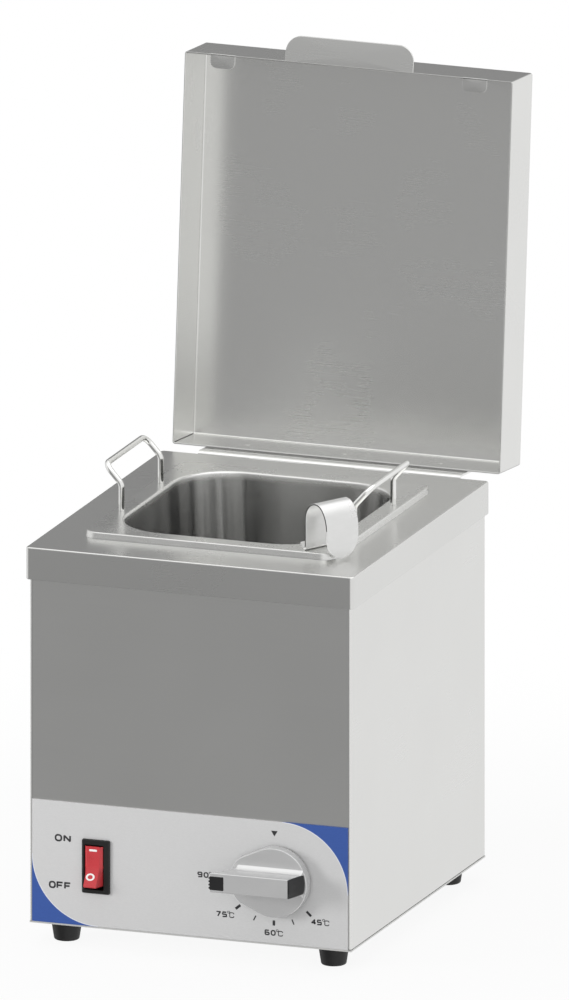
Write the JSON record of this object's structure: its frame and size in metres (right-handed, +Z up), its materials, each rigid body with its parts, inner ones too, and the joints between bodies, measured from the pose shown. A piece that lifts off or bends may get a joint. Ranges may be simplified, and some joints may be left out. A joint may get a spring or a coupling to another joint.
{
  "type": "bain marie",
  "caption": "Countertop wet bain marie with a lift-out pan, wire handles, a hooked ladle, a hinged lid, a rocker switch and a thermostat knob.",
  "frame": {"origin": "on the ground, under the middle of the whole object's box with the lid open", "axes": "+Z up, front with the controls towards -Y, +X to the right of someone facing the controls"},
  "size_m": [0.21, 0.338, 0.5012],
  "materials": {
    "brushed_stainless": "satin brushed along the width",
    "polished_stainless": "bright polished",
    "printed_plate": "satin grey print with two blue corners and black scale",
    "silver_plastic": "satin silver grey",
    "black_plastic": "satin",
    "red_plastic": "glossy",
    "rubber_foot": "matte",
    "zinc_steel": "zinc plated",
    "mineral_blanket": "woven mineral fibre"
  },
  "bodies": {
    "casing": {"top_cover": "brushed_stainless", "casing": "brushed_stainless", "front_panel": "brushed_stainless", "base_plate": "brushed_stainless", "water_well": "brushed_stainless", "control_plate": "printed_plate", "foot_front_left": "rubber_foot", "foot_front_right": "rubber_foot", "foot_back_left": "rubber_foot", "foot_back_right": "rubber_foot", "foot_screw_front_left": "zinc_steel", "foot_screw_front_right": "zinc_steel", "foot_screw_back_left": "zinc_steel", "foot_screw_back_right": "zinc_steel", "base_screw_1": "zinc_steel", "base_screw_2": "zinc_steel", "base_screw_3": "zinc_steel", "base_screw_4": "zinc_steel", "heater_plate": "zinc_steel", "heater_clamp": "zinc_steel", "heater_stud_front": "zinc_steel", "heater_stud_back": "zinc_steel", "safety_cutout": "black_plastic", "insulation_blanket": "mineral_blanket", "thermostat_body": "black_plastic", "thermostat_screw_left": "zinc_steel", "thermostat_screw_right": "zinc_steel", "thermostat_bulb": "zinc_steel", "bulb_clip": "zinc_steel", "switch_housing": "black_plastic", "cable_gland": "black_plastic", "gland_locknut": "black_plastic", "terminal_block": "black_plastic", "earth_stud": "zinc_steel", "hinge_leaf_casing": "brushed_stainless", "hinge_pin": "zinc_steel", "hinge_screw_1": "zinc_steel", "hinge_screw_2": "zinc_steel", "hinge_screw_3": "zinc_steel"},
    "lid": {"lid_shell": "brushed_stainless", "hinge_leaf_lid": "brushed_stainless", "lid_rivet_1": "polished_stainless", "lid_rivet_2": "polished_stainless", "lid_rivet_3": "polished_stainless"},
    "pan": {"pan": "polished_stainless", "pan_handle_left": "polished_stainless", "pan_handle_right": "polished_stainless"},
    "ladle": {"ladle_handle": "polished_stainless", "ladle_cup": "polished_stainless", "ladle_rivet_1": "polished_stainless", "ladle_rivet_2": "polished_stainless"},
    "knob": {"thermostat_knob": "silver_plastic", "knob_tip_inlay": "black_plastic", "knob_tail_inlay": "black_plastic", "thermostat_shaft": "zinc_steel"},
    "rocker": {"switch_rocker": "red_plastic"}
  },
  "joints": [
    {"name": "lid_hinge", "type": "hinge", "parent": "casing", "child": "lid", "pos_m": [0, 0.10108, 0.2384], "axis": [1, 0, 0], "range_deg": [0, 95.3]},
    {"name": "pan_lift", "type": "slide", "parent": "casing", "child": "pan", "axis": [0, 0, -1], "range_m": [-0.125, 0]},
    {"name": "ladle_lift", "type": "slide", "parent": "pan", "child": "ladle", "axis": [0, 0, -1], "range_m": [-0.13, 0]},
    {"name": "knob_turn", "type": "hinge", "parent": "casing", "child": "knob", "pos_m": [0.0546, -0.14757, 0.0548], "axis": [0, -1, 0], "range_deg": [0, 270]},
    {"name": "switch_rock", "type": "hinge", "parent": "casing", "child": "rocker", "pos_m": [-0.0599, -0.14662, 0.0518], "axis": [1, 0, 0], "range_deg": [0, 22]}
  ]
}
